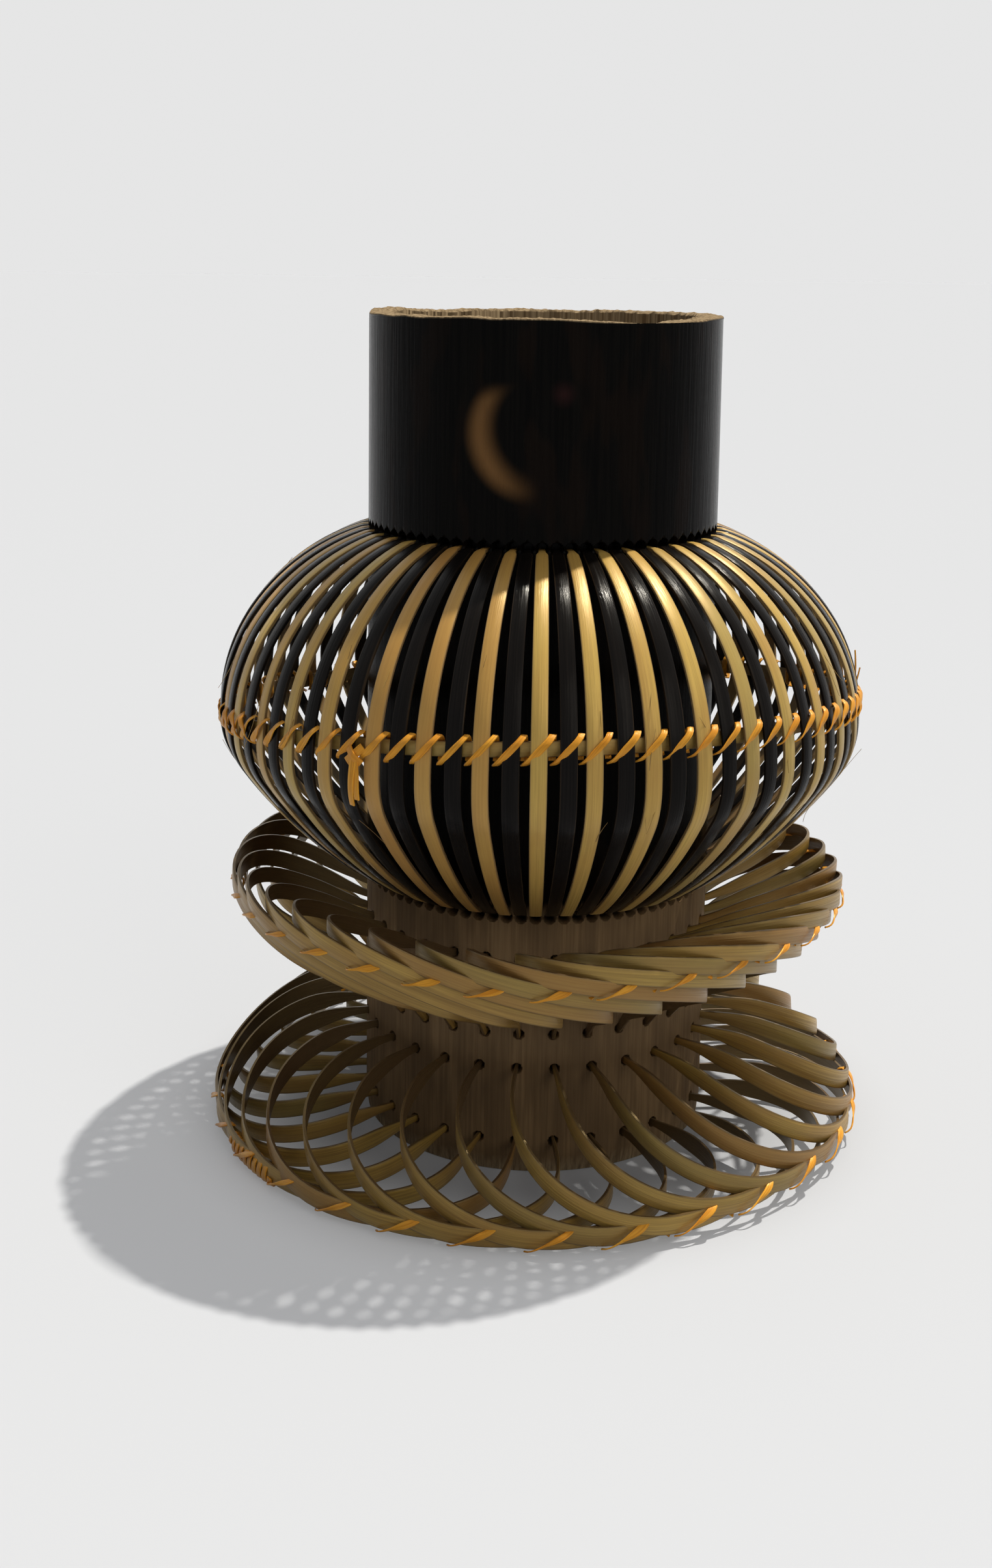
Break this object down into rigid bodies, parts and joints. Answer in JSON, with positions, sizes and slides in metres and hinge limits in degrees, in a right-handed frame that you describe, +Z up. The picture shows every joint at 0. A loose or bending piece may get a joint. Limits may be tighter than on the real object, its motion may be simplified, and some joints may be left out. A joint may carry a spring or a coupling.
{
  "type": "bamboo vase",
  "caption": "Bamboo flower vase: a dark upright culm ringed by a bulging cage of split slats above two wheels of bent bamboo loops, all pegged in and lashed with golden strip.",
  "frame": {"origin": "centre of the culm's foot, on the surface it stands on", "axes": "+Z up along the culm, -Y towards the front of the picture"},
  "size_m": [0.1982, 0.1976, 0.241],
  "materials": {
    "culm": "scorched and lacquered bamboo, glossy",
    "natural_bamboo": "split bamboo, satin",
    "black_bamboo": "black lacquered bamboo, glossy",
    "wheel_bamboo": "split bamboo, satin",
    "binding": "golden binding strip, glossy"
  },
  "bodies": {
    "root": {"culm": "culm", "belly_hoop": "natural_bamboo", "natural_slats_01": "natural_bamboo", "natural_slats_02": "natural_bamboo", "natural_slats_03": "natural_bamboo", "natural_slats_04": "natural_bamboo", "natural_slats_05": "natural_bamboo", "natural_slats_06": "natural_bamboo", "natural_slats_07": "natural_bamboo", "natural_slats_08": "natural_bamboo", "natural_slats_09": "natural_bamboo", "natural_slats_10": "natural_bamboo", "black_slats_01": "black_bamboo", "black_slats_02": "black_bamboo", "black_slats_03": "black_bamboo", "black_slats_04": "black_bamboo", "black_slats_05": "black_bamboo", "black_slats_06": "black_bamboo", "black_slats_07": "black_bamboo", "black_slats_08": "black_bamboo", "black_slats_09": "black_bamboo", "black_slats_10": "black_bamboo", "middle_wheel_strips_01": "wheel_bamboo", "middle_wheel_strips_02": "wheel_bamboo", "middle_wheel_strips_03": "wheel_bamboo", "middle_wheel_strips_04": "wheel_bamboo", "middle_wheel_strips_05": "wheel_bamboo", "middle_wheel_strips_06": "wheel_bamboo", "middle_wheel_strips_07": "wheel_bamboo", "middle_wheel_strips_08": "wheel_bamboo", "middle_wheel_strips_09": "wheel_bamboo", "middle_wheel_strips_10": "wheel_bamboo", "middle_wheel_strips_11": "wheel_bamboo", "lower_wheel_strips_01": "wheel_bamboo", "lower_wheel_strips_02": "wheel_bamboo", "lower_wheel_strips_03": "wheel_bamboo", "lower_wheel_strips_04": "wheel_bamboo", "lower_wheel_strips_05": "wheel_bamboo", "lower_wheel_strips_06": "wheel_bamboo", "lower_wheel_strips_07": "wheel_bamboo", "lower_wheel_strips_08": "wheel_bamboo", "lower_wheel_strips_09": "wheel_bamboo", "lower_wheel_strips_10": "wheel_bamboo", "belly_lashing_1": "binding", "belly_lashing_2": "binding", "belly_lashing_3": "binding", "belly_lashing_4": "binding", "middle_wheel_lashing_1": "binding", "middle_wheel_lashing_2": "binding", "lower_wheel_lashing_1": "binding", "lower_wheel_lashing_2": "binding", "belly_knot": "binding", "belly_tail": "binding"}
  },
  "joints": []
}
